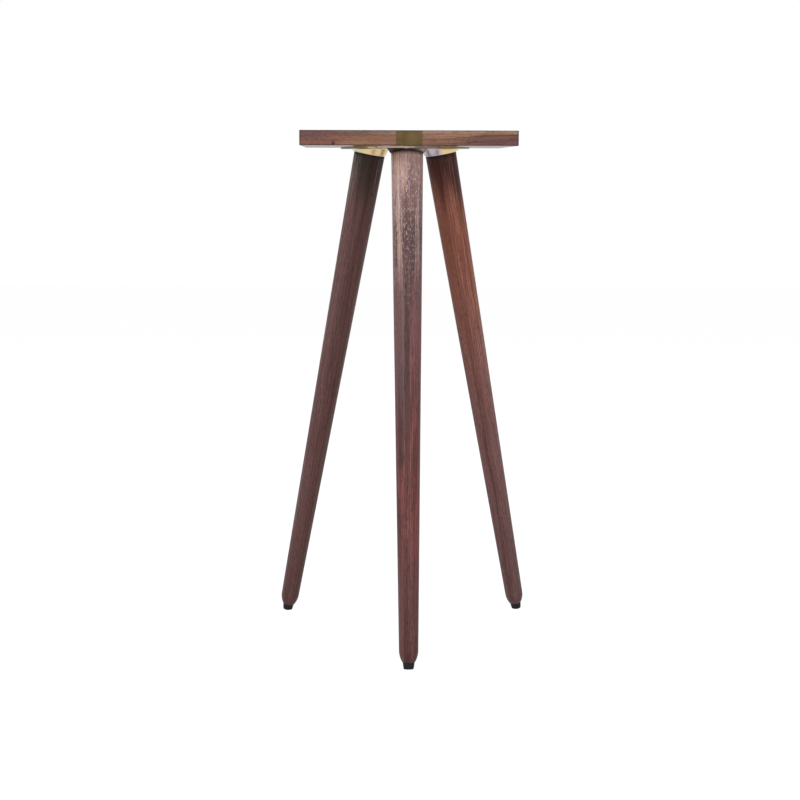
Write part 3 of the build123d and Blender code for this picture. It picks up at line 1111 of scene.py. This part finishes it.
# %% Passivated zinc
CLOUDS = per_size(14.0, 14.0)
CLOUD_SHARE = 0.3
HAZE = per_size(2.2, 2.2)
HAZE_SHARE = 0.12
FILM_DRAIN = 0.02                # how much thinner the film gets for a millimetre down
BRACKET_MIDDLE = 4.0             # below the board, where the film is as thick as it is named
FILM_COLOURS = [
    (0.0, "#9f959a"), (0.2, "#bdb2bb"), (0.36, "#ceb5af"), (0.46, "#dec19a"),
    (0.68, "#dec692"), (0.8, "#c6c79a"), (0.92, "#bcc1a2"), (1.0, "#d0d2c1"),
]
# painted shade: the front bracket's film colours, darkest where its film is thinnest, low on its
# boss
SHADED_FILM_COLOURS = [(0.0, "#3b2c26"), (0.3, "#4e3d37"), (0.5, "#85756e"), (1.0, "#c4b5af")]


def metal_look(tree, surface, tint, marks, roughness, relief, depth):
    """Gives a metal its colour, a range of roughness and a bump that both follow its marks."""
    low, high = roughness
    rough = add(tree, "MapRange", {"Value": marks, "To Min": low, "To Max": high})
    bump = add(tree, "Bump", {"Strength": relief, "Distance": depth * MM, "Height": marks})
    look = {"Base Color": tint, "Roughness": rough, "Normal": bump, "Metallic": 1.0}
    plug(tree, surface, look)


def passivated_zinc(name, start, end, thin, thick, colours=FILM_COLOURS, roughness=0.32):
    """Iridescent zinc whose film changes from thin at the start to thick at the end, along x."""
    material, tree, surface = new_material(name)
    where = add(tree, "TexCoord").outputs["Object"]
    place = add(tree, "SeparateXYZ", {0: where}).outputs
    span = {"From Min": start * MM, "From Max": end * MM, "To Min": thin, "To Max": thick}
    film = add(tree, "MapRange", {"Value": place["X"], **span})
    clouds = pattern(tree, where, CLOUDS, 2.0)
    haze = pattern(tree, where, HAZE, 4.0)
    terms = [(film, 1.0), (clouds, CLOUD_SHARE), (haze, HAZE_SHARE), (place["Z"], FILM_DRAIN / MM)]
    drained = (board_low.z - BRACKET_MIDDLE * MM) * FILM_DRAIN / MM
    thickness = scaled_sum(tree, terms, -(CLOUD_SHARE + HAZE_SHARE) / 2 - drained)
    bands = set_stops(add(tree, "ValToRGB", {"Fac": thickness}), colours)
    rough = (roughness - 0.08, roughness + 0.12)
    metal_look(tree, surface, bands, haze, rough, relief=0.15, depth=0.05)
    return material


print("colours of the film:", len(FILM_COLOURS))

# %% The zinc of each piece
# painted light and shade along the flanges' rims: pale at the front, as a painted reflection of
# the white floor, and darker olive to the sides, as painted shade
rim_light_and_shade = [
    (-80, "#9a8f8a"), (-62, "#8f8371"), (-56, "#8a7350"), (-36, "#8c7550"), (-33, "#d8bc9d"),
    (-20, "#d5c0b4"), (8, "#c3b2a7"), (20, "#948176"), (36, "#9a8b82"), (44, "#8f7552"),
    (60, "#94805f"), (80, "#9c928b"),
]
edge_start, edge_end = rim_light_and_shade[0][0], rim_light_and_shade[-1][0]
edge_stops = [((x - edge_start) / (edge_end - edge_start), tint) for x, tint in rim_light_and_shade]
painted_rim_zinc = passivated_zinc("yellow_zinc_cut_edge", edge_start, edge_end, 0, 1, edge_stops, 0.5)
films = {
    "front": {"start": -18, "end": 22, "thin": 0.2, "thick": 0.85, "colours": SHADED_FILM_COLOURS},
    "left": {"start": -44, "end": -62, "thin": 0.6, "thick": 0.96},
    "right": {"start": 40, "end": 47, "thin": 0.24, "thick": 0.6},
}
for side in SIDES:
    zinc = passivated_zinc("yellow_zinc_bracket_" + side, **films[side])
    bracket_pieces[side].data.materials.append(zinc)
    bracket_pieces[side].data.materials.append(painted_rim_zinc)
fastener_zinc = passivated_zinc("yellow_zinc_fasteners", start=-160, end=160, thin=0.4, thick=0.8)
for piece in [*screw_pieces.values(), *nut_pieces.values()]:
    piece.data.materials.append(fastener_zinc)
print("brackets:", [piece.name for piece in bracket_pieces.values()])

# %% [markdown]
# ## Bright steel, brass and rubber
# Bolts, washers and foot screws are plain bright steel. The plate is brass that has dulled to
# an olive brown, brushed from end to end. The feet are black rubber, satin as it came from the
# mould, with a faint mottle.

# %% Bright steel, brass and rubber
BRUSH_MARKS = (1 / (16 * MM), 1 / (0.25 * MM), 1 / (0.25 * MM))  # long in x
STEEL_GRAIN = per_size(1.0, 1.0)
RUBBER_GRAIN = per_size(0.8, 0.8)


def brushed(name, dark, light, stretch, roughness):
    """Metal with marks of a brush or a drawing die, stretched as given."""
    material, tree, surface = new_material(name)
    where = add(tree, "TexCoord").outputs["Object"]
    marks = pattern(tree, where, stretch, 3.0)
    dulling = pattern(tree, where, CLOUDS, 3.0)
    both = scaled_sum(tree, [(marks, 0.8), (dulling, 1.0)])
    tone = add(tree, "Math", {0: both, 1: 0.4}, operation="SUBTRACT")
    tint = set_stops(add(tree, "ValToRGB", {"Fac": tone}), [(0.25, dark), (0.75, light)])
    rough = (roughness - 0.1, roughness + 0.1)
    metal_look(tree, surface, tint, marks, rough, relief=0.2, depth=0.03)
    return material


brass = brushed("aged_brushed_brass", "#473923", "#5b4b33", BRUSH_MARKS, 0.62)
plate_piece.data.materials.append(brass)
steel = brushed("bright_steel", "#8f9092", "#c3c4c6", STEEL_GRAIN, 0.3)
for piece in [*bolt_pieces.values(), *washer_pieces.values(), *foot_screw_pieces.values()]:
    piece.data.materials.append(steel)

rubber, rubber_tree, rubber_surface = new_material("moulded_black_rubber")
rubber_at = add(rubber_tree, "TexCoord").outputs["Object"]
speckle = pattern(rubber_tree, rubber_at, RUBBER_GRAIN, 3.0)
rubber_tint = add(rubber_tree, "ValToRGB", {"Fac": speckle})
set_stops(rubber_tint, [(0.3, "#0f1011"), (0.7, "#18191a")])
feed = {"Strength": 0.2, "Distance": 0.05 * MM, "Height": speckle}
rubber_look = {
    "Base Color": rubber_tint,
    "Normal": add(rubber_tree, "Bump", feed),
    "Roughness": 0.6,
    "Specular IOR Level": 0.15,
}
plug(rubber_tree, rubber_surface, rubber_look)
for piece in foot_pieces.values():
    piece.data.materials.append(rubber)
print("materials:", len(bpy.data.materials))

# %% [markdown]
# ## Floor and light
# The stand is lit as for a catalogue: a white room, and one large soft light on each side, in
# front, behind and above. The room and the floor look plain white to the camera and in
# reflections. The floor gives up a small share of that to real light, and so keeps a shadow.

# %% Floor and room
FLOOR_SIZE = 12.0
SHADOW_SHARE = 0.16              # how much of the floor's white is real light
FLOOR_GLOW = 1.15                # makes up for real light that falls short of white
ROOM_LIGHT = 0.2


def seen_directly(tree):
    """1 for rays from the camera, a glossy surface or a clear one, and 0 for the rest."""
    rays = add(tree, "LightPath").outputs
    seen = rays["Is Camera Ray"]
    for name in ("Is Glossy Ray", "Is Transmission Ray"):
        seen = add(tree, "Math", {0: seen, 1: rays[name]}, operation="MAXIMUM")
    return seen


floor_solid = bmesh.new()
bmesh.ops.create_grid(floor_solid, x_segments=1, y_segments=1, size=FLOOR_SIZE / 2)
floor_mesh = bpy.data.meshes.new("floor")
floor_solid.to_mesh(floor_mesh)
floor_solid.free()
floor = scene_object("floor", floor_mesh)

paint, paint_tree, paint_surface = new_material("white_floor_paint")
plug(
    paint_tree,
    paint_surface,
    {"Base Color": (0.65, 0.65, 0.65, 1), "Roughness": 1.0, "Specular IOR Level": 0.0},
)
glow = add(paint_tree, "Emission", {"Color": (1, 1, 1, 1), "Strength": FLOOR_GLOW})
feed = {0: seen_directly(paint_tree), 1: 1 - SHADOW_SHARE}
glow_share = add(paint_tree, "Math", feed, operation="MULTIPLY")
feed = {0: glow_share, 1: paint_surface, 2: glow}
blend = add(paint_tree, "MixShader", feed)
plug(paint_tree, paint_tree.nodes["Material Output"], {"Surface": blend})
floor_mesh.materials.append(paint)

room = bpy.data.worlds.new("white_room")
bpy.context.scene.world = room
room.use_nodes = True
feed = {"Value": seen_directly(room.node_tree), "To Min": ROOM_LIGHT, "To Max": 1.0}
strength = add(room.node_tree, "MapRange", feed)
background = room.node_tree.nodes["Background"]
plug(room.node_tree, background, {"Color": (1, 1, 1, 1), "Strength": strength})
print("floor and room:", floor.name, room.name)

# %% Lamps
LAMP_SIZE = 1.8
STAND_MIDDLE = Vector((0, 0, 0.35))


def soft_light(name, place, power):
    """A large square lamp that faces the stand and isn't seen itself."""
    lamp = bpy.data.lights.new(name, "AREA")
    lamp.shape = "SQUARE"
    lamp.size = LAMP_SIZE
    lamp.energy = power
    holder = scene_object(name, lamp)
    holder.visible_camera = False
    holder.location = place
    holder.rotation_euler = (STAND_MIDDLE - Vector(place)).to_track_quat("-Z", "Y").to_euler()
    return holder


lamps = [
    soft_light("left_light", (-1.9, -1.5, 1.6), 31),
    soft_light("right_light", (1.9, -1.5, 1.5), 21),
    soft_light("front_light", (-0.2, -2.6, 1.2), 44),
    soft_light("back_light", (0.5, 2.5, 1.5), 26),
    soft_light("top_light", (0, 0, 2.4), 14),
]
print("lamps:", [lamp.name for lamp in lamps])

# %% [markdown]
# ## Camera
# The camera stands two metres in front, almost level with the board, and looks a little down.
# It is turned slightly to the right, so the front edge of the board isn't quite square on.

# %% Camera
camera_data = bpy.data.cameras.new("camera")
camera_data.sensor_width = 36
camera_data.lens = 72.6
camera = scene_object("camera", camera_data)
camera.location = Vector((-62.6, -1984, 586.3)) * MM
camera_pitch = -8.228             # degrees, below the horizon
camera_yaw = 1.604                # to the right
camera_roll = -0.176
level_view = Euler((math.radians(90 + camera_pitch), 0, math.radians(-camera_yaw)))
roll = Matrix.Rotation(math.radians(-camera_roll), 3, "Z")
camera.rotation_euler = (level_view.to_matrix() @ roll).to_euler()
bpy.context.scene.camera = camera
bpy.context.scene.view_settings.view_transform = "Standard"
